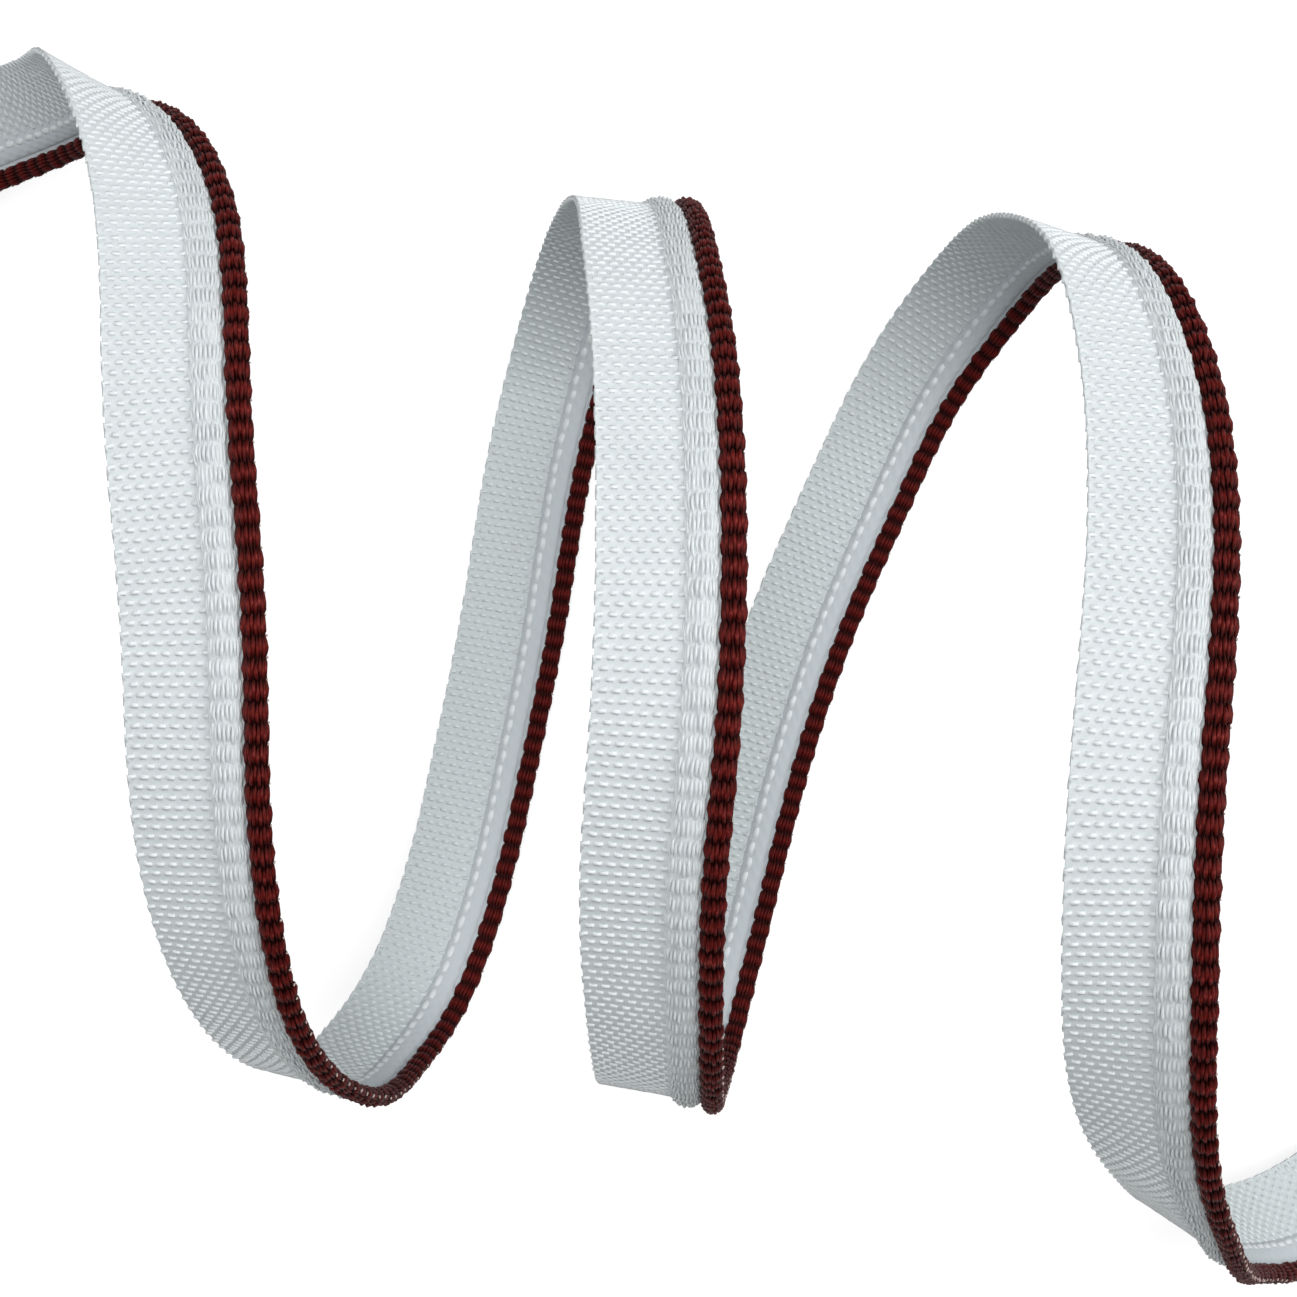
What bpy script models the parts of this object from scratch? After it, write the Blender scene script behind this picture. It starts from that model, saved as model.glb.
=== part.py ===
"""Half inch piping trim, one cut length of about 0.87 m lying in three loose loops.

The trim is woven in one: a flat white tape with a padded white rib along its
inner side, and a round burgundy piping along its outer side. It lies face down
on the table between the loops, and stands up in an arch, face up, in each loop.
Metres, +Z up. The reverse strands touch z = 0.
"""
import math

import bmesh
import bpy
from mathutils import Vector

MM = 0.001

# Named sizes of the trim, in millimetres.
TRIM_WIDTH = 12.7        # half an inch over everything
PIPING_WIDTH = 2.4
PIPING_GAP = 0.3         # between the white rib and the piping
RIB_WIDTH = 2.7
FLANGE_THICKNESS = 1.0
RIB_RISE = 1.1           # face side, from the middle of the cloth
RIB_BACK = 0.8           # reverse side
PIPING_RISE = 1.2
PIPING_BACK = 0.8
TABLE_LIFT = 0.475        # how high the middle of the cloth runs on the table
LIFT_SOFTNESS = 0.6      # how gently a strand leaves the table
STATIONS = 296           # cross-sections along the length

# The lie of the trim, one row for each stretch or bend, in millimetres.
# turn is the way the piping side points, seen from above, in degrees.
# tip is how far the piping side is raised, in degrees.
LIE = [
    # name,               x,     y,     z,  turn, tip
    ("left cut end",   -114.0,  41.8,  0.0, -58,   4),
    ("left end",       -100.0,  49.3,  0.2, -58,   4),
    ("leaves table",    -86.0,  55.8,  3.0, -56,   0),
    ("rises",           -74.6,  59.2,  8.5, -52,   0),
    ("top 1 lower",     -65.0,  59.4, 18.5, -40,  -8),
    ("top 1",           -55.5,  56.7, 37.0, -28, -18),
    ("top 1 upper",     -47.9,  49.2, 51.0, -13, -22),
    ("arch 1 start",    -42.7,  38.2, 61.0,  -4, -14),
    ("arch 1 upper",    -40.1,  20.0, 68.5,   0,  -4),
    ("arch 1 crest",    -38.8,   2.0, 68.5,   1,   0),
    ("arch 1 lower",    -38.7, -14.0, 66.0,   1,   6),
    ("arch 1 end",      -37.8, -28.5, 59.0,  -2,  16),
    ("foot 1 upper",    -35.6, -39.5, 46.0,  -6,  22),
    ("foot 1",          -32.5, -44.9, 31.0, -12,  12),
    ("foot 1 lower",    -29.8, -43.9, 15.0, -15,   4),
    ("meets table 1",   -26.6, -39.1,  6.5, -16,   2),
    ("back 1 start",    -23.5, -31.0,  3.0, -16,   3),
    ("back 1 lower",    -19.2, -13.2,  0.6, -17,   4),
    ("back 1 middle",   -15.7,   4.6,  0.0, -15,   4),
    ("back 1 upper",    -13.4,  18.8,  0.0, -13,   4),
    ("leaves table 1",  -10.1,  32.8,  1.5, -12,   0),
    ("top 2 foot",       -7.0,  41.5,  8.0, -10,   0),
    ("top 2 lower",      -3.7,  45.6, 23.0,  -8,   0),
    ("top 2",            -1.1,  44.0, 40.0,  -5,  -4),
    ("top 2 upper",       0.2,  36.8, 56.0,  -4,  -6),
    ("arch 2 start",      1.3,  27.5, 66.0,  -3,  -6),
    ("arch 2 upper",      2.0,  10.0, 74.0,   0,  -2),
    ("arch 2 crest",      1.5,  -6.0, 74.5,   0,   0),
    ("arch 2 lower",      0.5, -20.0, 70.0,  -2,   4),
    ("arch 2 end",        0.6, -33.0, 61.0,  -5,  10),
    ("foot 2 upper",      1.1, -41.7, 48.0,  -7,  13),
    ("foot 2",            1.8, -45.1, 33.0,  -9,   8),
    ("foot 2 lower",      3.2, -45.9, 17.0, -13,   3),
    ("meets table 2",     5.1, -43.0,  5.0, -15,   2),
    ("back 2 start",      7.2, -36.0,  1.0, -15,   3),
    ("back 2 lower",     12.0, -16.8,  0.0, -18,   4),
    ("back 2 middle",    19.0,   4.6,  0.0, -24,   4),
    ("back 2 upper",     25.2,  18.8,  0.0, -27,   6),
    ("leaves table 2",   32.1,  32.7,  2.5, -27,   8),
    ("top 3 foot",       37.2,  40.0,  9.0, -25,   4),
    ("top 3 lower",      40.2,  43.1, 24.0, -20,  -6),
    ("top 3",            41.5,  40.2, 43.0, -15, -18),
    ("top 3 upper",      42.2,  33.5, 60.0,  -8, -18),
    ("arch 3 start",     43.0,  22.8, 69.0,  -2,  -9),
    ("arch 3 upper",     42.0,   6.0, 76.5,   1,   0),
    ("arch 3 crest",     40.1, -12.0, 79.0,   1,   2),
    ("arch 3 lower",     40.4, -28.0, 75.5,  -3,  10),
    ("arch 3 end",       43.3, -42.0, 66.0, -10,  28),
    ("foot 3 upper",     49.1, -52.1, 53.5, -22,  38),
    ("foot 3",           55.7, -59.4, 37.0, -34,  33),
    ("foot 3 lower",     63.4, -63.7, 21.0, -46,  31),
    ("comes down",       73.0, -65.3, 10.5, -56,  28),
    ("meets table 3",    86.0, -60.5,  3.0, -60,  16),
    ("right end",       100.0, -52.5,  0.3, -60,   6),
    ("right cut end",   114.0, -44.0,  0.0, -60,   4),
]

# Outlines of the two solids across the trim. across runs from the white
# selvedge to the piping, out runs from the reverse to the face, in millimetres.
SELVEDGE = -TRIM_WIDTH / 2
PIPING_OUTER = TRIM_WIDTH / 2
PIPING_INNER = PIPING_OUTER - PIPING_WIDTH
RIB_OUTER = PIPING_INNER - PIPING_GAP
RIB_INNER = RIB_OUTER - RIB_WIDTH
HALF = FLANGE_THICKNESS / 2


def tape_outline():
    """Flat flange with a soft padded rib along one side."""
    rib_middle = (RIB_INNER + RIB_OUTER) / 2
    return [
        # across,             out
        (SELVEDGE + 0.15,    -HALF),
        (-2.70,              -HALF),
        (RIB_INNER,          -HALF),
        (RIB_INNER + 0.60,   -RIB_BACK + 0.06),
        (rib_middle,         -RIB_BACK),
        (RIB_OUTER - 0.50,   -RIB_BACK + 0.10),
        (RIB_OUTER,          -0.35),
        (RIB_OUTER,           0.60),
        (RIB_OUTER - 0.50,    RIB_RISE - 0.12),
        (rib_middle,          RIB_RISE),
        (RIB_INNER + 0.60,    RIB_RISE - 0.15),
        (RIB_INNER,           HALF),
        (-2.70,               HALF),
        (SELVEDGE + 0.15,     HALF),
        (SELVEDGE,            HALF - 0.15),
        (SELVEDGE,           -HALF + 0.15),
    ]


def piping_outline(sides=12):
    """Round cord, a little flatter on the reverse."""
    middle = (PIPING_INNER + PIPING_OUTER) / 2
    points = []
    for i in range(sides):
        angle = 2 * math.pi * (i + 0.5) / sides
        reach = PIPING_RISE if math.sin(angle) > 0 else PIPING_BACK
        points.append((middle + PIPING_WIDTH / 2 * math.cos(angle) / math.cos(math.pi / sides),
                       reach * math.sin(angle) / math.sin(math.pi / 2 - math.pi / sides)))
    return points[::-1]


def spline(knots, values, where):
    """Smooth curve through values at knots, read at each place in where."""
    last = len(knots) - 1
    gap = [knots[i + 1] - knots[i] for i in range(last)]
    slope = [(values[i + 1] - values[i]) / gap[i] for i in range(last)]
    bend = [0.0] * (last + 1)
    fraction = [0.0] * (last + 1)
    for i in range(1, last):
        pivot = 2 * (gap[i - 1] + gap[i]) - gap[i - 1] * fraction[i - 1]
        fraction[i] = gap[i] / pivot
        bend[i] = (6 * (slope[i] - slope[i - 1]) - gap[i - 1] * bend[i - 1]) / pivot
    for i in range(last - 1, 0, -1):
        bend[i] -= fraction[i] * bend[i + 1]
    result = []
    i = 0
    for t in where:
        while i < last - 1 and t > knots[i + 1]:
            i += 1
        a = (knots[i + 1] - t) / gap[i]
        b = 1 - a
        result.append(a * values[i] + b * values[i + 1]
                      + ((a ** 3 - a) * bend[i] + (b ** 3 - b) * bend[i + 1]) * gap[i] ** 2 / 6)
    return result


def off_the_table(height):
    """Keep the middle of the cloth on or above its height on the table."""
    over = height - TABLE_LIFT
    return TABLE_LIFT + (over + math.hypot(over, LIFT_SOFTNESS)) / 2


def even_steps(points, count):
    """Fractional indices that split a row of points into equal lengths."""
    run = [0.0]
    for a, b in zip(points, points[1:]):
        run.append(run[-1] + (b - a).length)
    steps, i = [], 0
    for k in range(count):
        target = run[-1] * k / (count - 1)
        while i < len(run) - 2 and run[i + 1] < target:
            i += 1
        steps.append(i + (target - run[i]) / (run[i + 1] - run[i]))
    return steps, run[-1]


def trim_frames():
    """Place, piping-side direction and face direction at each station."""
    rows = [Vector(row[1:4]) for row in LIE]
    knots = [0.0]
    for a, b in zip(rows, rows[1:]):
        knots.append(knots[-1] + (b - a).length)
    fine = [knots[-1] * i / 1600 for i in range(1601)]
    columns = [spline(knots, [row[c] for row in LIE], fine) for c in range(1, 6)]
    places = [Vector((x, y, off_the_table(z))) for x, y, z in zip(*columns[:3])]
    steps, length = even_steps(places, STATIONS)

    def at(values, step):
        i = min(int(step), len(values) - 2)
        return values[i] + (values[i + 1] - values[i]) * (step - i)

    middles = [at(places, s) for s in steps]
    frames = []
    for i, step in enumerate(steps):
        before, after = middles[max(i - 1, 0)], middles[min(i + 1, STATIONS - 1)]
        along = (after - before).normalized()
        turn, tip = math.radians(at(columns[3], step)), math.radians(at(columns[4], step))
        across = Vector((math.cos(tip) * math.cos(turn), math.cos(tip) * math.sin(turn), math.sin(tip)))
        across = (across - across.dot(along) * along).normalized()
        frames.append((middles[i], across, across.cross(along)))
    return frames, length


def sweep(name, outline, frames):
    """One closed solid: the outline carried along the trim, pressed flat on the table."""
    mesh = bmesh.new()
    rings = []
    for middle, across, out in frames:
        ring = []
        for u, v in outline:
            point = middle + across * u + out * v
            point.z = max(point.z, 0.0)
            ring.append(mesh.verts.new(point * MM))
        rings.append(ring)
    sides = len(outline)
    for a, b in zip(rings, rings[1:]):
        for i in range(sides):
            j = (i + 1) % sides
            mesh.faces.new((a[i], a[j], b[j], b[i]))
    mesh.faces.new(rings[0][::-1])
    mesh.faces.new(rings[-1])
    bmesh.ops.recalc_face_normals(mesh, faces=mesh.faces)
    bmesh.ops.triangulate(mesh, faces=mesh.faces)
    data = bpy.data.meshes.new(name)
    mesh.to_mesh(data)
    mesh.free()
    solid = bpy.data.objects.new(name, data)
    bpy.context.collection.objects.link(solid)
    return solid


def material(name, colour, roughness, sheen):
    made = bpy.data.materials.new(name)
    made.use_nodes = True
    made.diffuse_color = colour
    shader = made.node_tree.nodes["Principled BSDF"]
    shader.inputs["Base Color"].default_value = colour
    shader.inputs["Roughness"].default_value = roughness
    shader.inputs["Sheen Weight"].default_value = sheen
    return made


def centre_on_footprint(solids):
    """Move the solids so that their common box stands centred on the origin."""
    corners = [vertex.co for solid in solids for vertex in solid.data.vertices]
    middle_x = (min(c.x for c in corners) + max(c.x for c in corners)) / 2
    middle_y = (min(c.y for c in corners) + max(c.y for c in corners)) / 2
    low_z = min(c.z for c in corners)
    for corner in corners:
        corner.x -= middle_x
        corner.y -= middle_y
        corner.z -= low_z
    print("centre of the footprint", round(middle_x / MM, 3), round(middle_y / MM, 3), "mm")


for old in list(bpy.data.objects):
    bpy.data.objects.remove(old, do_unlink=True)

frames, length = trim_frames()
tape = sweep("woven_tape", tape_outline(), frames)
piping = sweep("piping_edge", piping_outline(), frames)
centre_on_footprint([tape, piping])
tape.data.materials.append(material("white_cloth", (0.80, 0.83, 0.84, 1.0), 0.55, 0.3))
piping.data.materials.append(material("burgundy_cloth", (0.085, 0.011, 0.013, 1.0), 0.5, 0.3))
print("trim length", round(length, 1), "mm,",
      "triangles", len(tape.data.polygons), "+", len(piping.data.polygons))
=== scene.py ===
# %% [markdown]
# # Piping trim, half an inch wide
#
# The object is a cut length of upholstery piping, woven in one piece: a flat
# white tape, a padded white rib along its inner side, and a round burgundy
# cord along its outer side. It lies in three loose loops that stand on a table.
#
# What makes it look real is the weaving, so this lesson builds the yarns
# themselves. Each set of yarns is first made flat and straight, where its rule
# is easy to write, and is then laid along the curve that the trim follows.

# %% Load the frame
import math

import bpy
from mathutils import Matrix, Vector


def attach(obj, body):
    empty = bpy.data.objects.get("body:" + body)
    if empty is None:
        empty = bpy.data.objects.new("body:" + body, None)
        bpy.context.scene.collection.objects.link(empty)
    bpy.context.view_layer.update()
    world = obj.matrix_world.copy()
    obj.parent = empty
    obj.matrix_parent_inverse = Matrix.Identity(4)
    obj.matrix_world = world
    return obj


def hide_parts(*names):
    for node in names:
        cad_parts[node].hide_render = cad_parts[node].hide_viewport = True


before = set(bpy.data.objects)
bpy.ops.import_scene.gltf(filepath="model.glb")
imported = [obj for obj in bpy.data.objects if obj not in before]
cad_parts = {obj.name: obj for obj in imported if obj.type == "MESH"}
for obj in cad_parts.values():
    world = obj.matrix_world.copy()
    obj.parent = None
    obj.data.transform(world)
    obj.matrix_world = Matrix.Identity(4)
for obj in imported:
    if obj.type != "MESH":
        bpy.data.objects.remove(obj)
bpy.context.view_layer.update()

MM = 0.001

# %% [markdown]
# ## The camera
#
# The picture looks straight down on the loops from a hand's breadth or two
# above them, so the near arches look a good deal wider than the strands that
# lie on the table. A short distance and a matching lens give that difference.

# %% Camera straight above
CAMERA_HEIGHT = 0.245
FOCAL_PIXELS = 2065
PICTURE_PIXELS = 1297
SENSOR = 36.0
FOOTPRINT_X, FOOTPRINT_Y = 0.130, -2.449     # where the route's own zero lies, mm

view = bpy.data.cameras.new("camera")
view.sensor_width = SENSOR
view.lens = SENSOR * FOCAL_PIXELS / PICTURE_PIXELS
view.clip_start = 0.01
camera = bpy.data.objects.new("camera", view)
camera.location = (-FOOTPRINT_X * MM, -FOOTPRINT_Y * MM, CAMERA_HEIGHT)
bpy.context.collection.objects.link(camera)
bpy.context.scene.camera = camera
print("lens", round(view.lens, 2), "mm")

# %% [markdown]
# ## How the trim lies
#
# A short table says where the middle of the trim runs: one row for each stretch
# or bend. The turn and tip columns say which way its burgundy side points. A
# natural spline joins the rows, and a soft floor keeps the reverse strands on
# the table, where cloth would come to rest.

# %% Sizes across the trim
TRIM_WIDTH = 12.7
PIPING_WIDTH = 2.4
PIPING_GAP = 0.3
RIB_WIDTH = 2.7
TABLE_LIFT = 0.475
LIFT_SOFTNESS = 0.6

SELVEDGE = -TRIM_WIDTH / 2
PIPING_OUTER = TRIM_WIDTH / 2
PIPING_INNER = PIPING_OUTER - PIPING_WIDTH
RIB_OUTER = PIPING_INNER - PIPING_GAP
RIB_INNER = RIB_OUTER - RIB_WIDTH

# %% The lie of the trim
LIE = [
    # name,               x,     y,     z,  turn, tip
    ("left cut end",   -114.0,  41.8,  0.0, -58,   4),
    ("left end",       -100.0,  49.3,  0.2, -58,   4),
    ("leaves table",    -86.0,  55.8,  3.0, -56,   0),
    ("rises",           -74.6,  59.2,  8.5, -52,   0),
    ("top 1 lower",     -65.0,  59.4, 18.5, -40,  -8),
    ("top 1",           -55.5,  56.7, 37.0, -28, -18),
    ("top 1 upper",     -47.9,  49.2, 51.0, -13, -22),
    ("arch 1 start",    -42.7,  38.2, 61.0,  -4, -14),
    ("arch 1 upper",    -40.1,  20.0, 68.5,   0,  -4),
    ("arch 1 crest",    -38.8,   2.0, 68.5,   1,   0),
    ("arch 1 lower",    -38.7, -14.0, 66.0,   1,   6),
    ("arch 1 end",      -37.8, -28.5, 59.0,  -2,  16),
    ("foot 1 upper",    -35.6, -39.5, 46.0,  -6,  22),
    ("foot 1",          -32.5, -44.9, 31.0, -12,  12),
    ("foot 1 lower",    -29.8, -43.9, 15.0, -15,   4),
    ("meets table 1",   -26.6, -39.1,  6.5, -16,   2),
    ("back 1 start",    -23.5, -31.0,  3.0, -16,   3),
    ("back 1 lower",    -19.2, -13.2,  0.6, -17,   4),
    ("back 1 middle",   -15.7,   4.6,  0.0, -15,   4),
    ("back 1 upper",    -13.4,  18.8,  0.0, -13,   4),
    ("leaves table 1",  -10.1,  32.8,  1.5, -12,   0),
    ("top 2 foot",       -7.0,  41.5,  8.0, -10,   0),
    ("top 2 lower",      -3.7,  45.6, 23.0,  -8,   0),
    ("top 2",            -1.1,  44.0, 40.0,  -5,  -4),
    ("top 2 upper",       0.2,  36.8, 56.0,  -4,  -6),
    ("arch 2 start",      1.3,  27.5, 66.0,  -3,  -6),
    ("arch 2 upper",      2.0,  10.0, 74.0,   0,  -2),
    ("arch 2 crest",      1.5,  -6.0, 74.5,   0,   0),
    ("arch 2 lower",      0.5, -20.0, 70.0,  -2,   4),
    ("arch 2 end",        0.6, -33.0, 61.0,  -5,  10),
    ("foot 2 upper",      1.1, -41.7, 48.0,  -7,  13),
    ("foot 2",            1.8, -45.1, 33.0,  -9,   8),
    ("foot 2 lower",      3.2, -45.9, 17.0, -13,   3),
    ("meets table 2",     5.1, -43.0,  5.0, -15,   2),
    ("back 2 start",      7.2, -36.0,  1.0, -15,   3),
    ("back 2 lower",     12.0, -16.8,  0.0, -18,   4),
    ("back 2 middle",    19.0,   4.6,  0.0, -24,   4),
    ("back 2 upper",     25.2,  18.8,  0.0, -27,   6),
    ("leaves table 2",   32.1,  32.7,  2.5, -27,   8),
    ("top 3 foot",       37.2,  40.0,  9.0, -25,   4),
    ("top 3 lower",      40.2,  43.1, 24.0, -20,  -6),
    ("top 3",            41.5,  40.2, 43.0, -15, -18),
    ("top 3 upper",      42.2,  33.5, 60.0,  -8, -18),
    ("arch 3 start",     43.0,  22.8, 69.0,  -2,  -9),
    ("arch 3 upper",     42.0,   6.0, 76.5,   1,   0),
    ("arch 3 crest",     40.1, -12.0, 79.0,   1,   2),
    ("arch 3 lower",     40.4, -28.0, 75.5,  -3,  10),
    ("arch 3 end",       43.3, -42.0, 66.0, -10,  28),
    ("foot 3 upper",     49.1, -52.1, 53.5, -22,  38),
    ("foot 3",           55.7, -59.4, 37.0, -34,  33),
    ("foot 3 lower",     63.4, -63.7, 21.0, -46,  31),
    ("comes down",       73.0, -65.3, 10.5, -56,  28),
    ("meets table 3",    86.0, -60.5,  3.0, -60,  16),
    ("right end",       100.0, -52.5,  0.3, -60,   6),
    ("right cut end",   114.0, -44.0,  0.0, -60,   4),
]

# %% A smooth curve through the rows
def spline(knots, values, where):
    """Natural cubic spline through values at knots, read at each place in where."""
    last = len(knots) - 1
    gap = [knots[i + 1] - knots[i] for i in range(last)]
    slope = [(values[i + 1] - values[i]) / gap[i] for i in range(last)]
    bend = [0.0] * (last + 1)
    fraction = [0.0] * (last + 1)
    for i in range(1, last):
        pivot = 2 * (gap[i - 1] + gap[i]) - gap[i - 1] * fraction[i - 1]
        fraction[i] = gap[i] / pivot
        bend[i] = (6 * (slope[i] - slope[i - 1]) - gap[i - 1] * bend[i - 1]) / pivot
    for i in range(last - 1, 0, -1):
        bend[i] -= fraction[i] * bend[i + 1]
    result, i = [], 0
    for t in where:
        while i < last - 1 and t > knots[i + 1]:
            i += 1
        a = (knots[i + 1] - t) / gap[i]
        b = 1 - a
        result.append(a * values[i] + b * values[i + 1]
                      + ((a ** 3 - a) * bend[i] + (b ** 3 - b) * bend[i + 1]) * gap[i] ** 2 / 6)
    return result


def off_the_table(height):
    """Keep the middle of the cloth on or above its height on the table."""
    over = height - TABLE_LIFT
    return TABLE_LIFT + (over + math.hypot(over, LIFT_SOFTNESS)) / 2


# %% Places and directions along the trim
FINE_STEPS = 1600


def trim_route():
    """Points along the middle of the trim, in metres, and its burgundy-side directions."""
    rows = [Vector(row[1:4]) for row in LIE]
    knots = [0.0]
    for a, b in zip(rows, rows[1:]):
        knots.append(knots[-1] + (b - a).length)
    fine = [knots[-1] * i / FINE_STEPS for i in range(FINE_STEPS + 1)]
    x, y, z, turn, tip = [spline(knots, [row[c] for row in LIE], fine) for c in range(1, 6)]
    places = [Vector((x[i], y[i], off_the_table(z[i]))) for i in range(len(fine))]
    sides = []
    for i in range(len(places)):
        along = (places[min(i + 1, FINE_STEPS)] - places[max(i - 1, 0)]).normalized()
        head, rise = math.radians(turn[i]), math.radians(tip[i])
        side = Vector((math.cos(rise) * math.cos(head), math.cos(rise) * math.sin(head), math.sin(rise)))
        sides.append((side - side.dot(along) * along).normalized())
    shift = Vector((FOOTPRINT_X, FOOTPRINT_Y, 0.0))
    return [(place - shift) * MM for place in places], sides


route_points, route_sides = trim_route()
LENGTH = sum((b - a).length for a, b in zip(route_points, route_points[1:]))
print("trim length", round(LENGTH / MM, 1), "mm")


# %% The route as a line that node trees can read
def route_line(name):
    """A line of edges along the route that carries the burgundy-side direction."""
    mesh = bpy.data.meshes.new(name)
    mesh.from_pydata(route_points, [(i, i + 1) for i in range(len(route_points) - 1)], [])
    side = mesh.attributes.new("side", "FLOAT_VECTOR", "POINT")
    side.data.foreach_set("vector", [v for s in route_sides for v in s])
    line = bpy.data.objects.new(name, mesh)
    bpy.context.collection.objects.link(line)
    return line


# %% [markdown]
# ## Building node trees in a script
#
# A few helpers keep the trees readable: one makes a tree with named inputs, one
# adds a node and sets its sockets by name, and one does arithmetic on sockets.

# %% Helpers for node trees
def new_tree(name, kind, inputs, outputs):
    """An empty tree with named inputs and outputs, each (name, socket type, default)."""
    tree = bpy.data.node_groups.new(name, kind)
    for label, socket, default in inputs:
        made = tree.interface.new_socket(label, in_out="INPUT", socket_type=socket)
        if default is not None:
            made.default_value = default
    for label, socket in outputs:
        tree.interface.new_socket(label, in_out="OUTPUT", socket_type=socket)
    return tree


def socket_of(sockets, label):
    """The socket in use with this name, or at this place in the list."""
    if isinstance(label, int):
        return sockets[label]
    return next(s for s in sockets if s.name == label and s.enabled)


class Builder:
    """Adds nodes to a tree and links them."""

    def __init__(self, tree, groups=True):
        self.tree = tree
        if groups:
            self.start = tree.nodes.new("NodeGroupInput")
            self.end = tree.nodes.new("NodeGroupOutput")

    def given(self, label):
        return socket_of(self.start.outputs, label)

    def put(self, target, value):
        if isinstance(value, bpy.types.NodeSocket):
            self.tree.links.new(value, target)
        else:
            target.default_value = value

    def add(self, kind, sockets=None, out=0, **settings):
        node = self.tree.nodes.new(kind)
        for key, value in settings.items():
            setattr(node, key, value)
        for label, value in (sockets or {}).items():
            self.put(socket_of(node.inputs, label), value)
        return socket_of(node.outputs, out)

    def group(self, tree, sockets, out=0):
        kind = "GeometryNodeGroup" if tree.bl_idname == "GeometryNodeTree" else "ShaderNodeGroup"
        return self.add(kind, sockets, out, node_tree=tree)

    def calc(self, operation, a, b=0.0, c=0.0):
        return self.add("ShaderNodeMath", {0: a, 1: b, 2: c}, operation=operation)

    def vector(self, operation, a, b=None, out=0):
        sockets = {0: a} if b is None else {0: a, 1: b}
        return self.add("ShaderNodeVectorMath", sockets, out, operation=operation)

    def scaled(self, vector, factor):
        return self.add("ShaderNodeVectorMath", {"Vector": vector, "Scale": factor}, operation="SCALE")

    def joined(self, x, y, z):
        return self.add("ShaderNodeCombineXYZ", {0: x, 1: y, 2: z})

    def store(self, geometry, label, value, kind="FLOAT", domain="POINT"):
        sockets = {"Geometry": geometry, "Name": label, "Value": value}
        return self.add("GeometryNodeStoreNamedAttribute", sockets, data_type=kind, domain=domain)

    def smooth(self, geometry, rounded=True):
        return self.add("GeometryNodeSetShadeSmooth", {"Geometry": geometry, "Shade Smooth": rounded})

    def painted(self, geometry):
        return self.add("GeometryNodeSetMaterial", {"Geometry": geometry, "Material": self.given("Finish")})

    def random_offset(self, low, high, seed):
        return self.add("FunctionNodeRandomValue", {"Min": low, "Max": high, "Seed": seed}, "Value",
                        data_type="FLOAT_VECTOR")

    def between(self, factor, at_zero, at_one):
        """at_zero where the factor is 0, at_one where it is 1."""
        return self.calc("MULTIPLY_ADD", factor, self.calc("SUBTRACT", at_one, at_zero), at_zero)

    def read(self, label):
        """A value that the geometry carries, in a shader."""
        return self.add("ShaderNodeAttribute", out="Fac", attribute_name=label)

    def finish(self, **results):
        for label, value in results.items():
            self.put(socket_of(self.end.inputs, label.replace("_", " ")), value)
        return self.tree


# %% [markdown]
# ## From flat to laid
#
# Every yarn is drawn flat: x runs across the trim, y along it and z out of its
# face. This group then lays it along the route. At the length y it reads the
# route's place, its heading and its burgundy side, and the face direction is
# square to both. Nothing goes through the table. Each point also remembers if it
# looks out of the face or of the reverse, for the finishes, which paint the
# reverse darker as shade. Seen from the face, the burgundy side is on the left of
# the heading, so laying mirrors the flat shape and its faces are flipped to point
# outwards again.

# %% Node group that lays flat geometry along the route
TABLE_CLEARANCE = 0.02 * MM
NO_LIMIT = -10.0


def lay_on_route_tree():
    b = Builder(new_tree("Lay On Route", "GeometryNodeTree",
                         [("Flat", "NodeSocketGeometry", None), ("Route", "NodeSocketGeometry", None)],
                         [("Laid", "NodeSocketGeometry")]))
    position = b.add("GeometryNodeInputPosition")
    split = b.tree.nodes.new("ShaderNodeSeparateXYZ")
    b.put(split.inputs[0], position)
    across, along, out = split.outputs
    side = b.add("GeometryNodeInputNamedAttribute", {"Name": "side"}, data_type="FLOAT_VECTOR")
    curve = b.add("GeometryNodeMeshToCurve", {"Mesh": b.given("Route")})
    reading = b.tree.nodes.new("GeometryNodeSampleCurve")
    reading.mode = "LENGTH"
    reading.data_type = "FLOAT_VECTOR"
    b.put(socket_of(reading.inputs, "Curves"), curve)
    b.put(socket_of(reading.inputs, "Value"), side)
    b.put(socket_of(reading.inputs, "Length"), along)
    place, heading = reading.outputs["Position"], reading.outputs["Tangent"]
    side_here = b.vector("NORMALIZE", socket_of(reading.outputs, "Value"))
    face = b.vector("NORMALIZE", b.vector("CROSS_PRODUCT", heading, side_here))
    laid = b.vector("ADD", place, b.vector("ADD", b.scaled(side_here, across), b.scaled(face, out)))
    floor = b.vector("MAXIMUM", laid, (NO_LIMIT, NO_LIMIT, TABLE_CLEARANCE))
    outwards = b.tree.nodes.new("ShaderNodeSeparateXYZ")
    b.put(outwards.inputs[0], b.add("GeometryNodeInputNormal"))
    sided = b.store(b.given("Flat"), "face_side", outwards.outputs[2])
    moved = b.add("GeometryNodeSetPosition", {"Geometry": sided, "Position": floor})
    return b.finish(Laid=b.add("GeometryNodeFlipFaces", {"Mesh": moved}))


lay_on_route = lay_on_route_tree()

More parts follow.
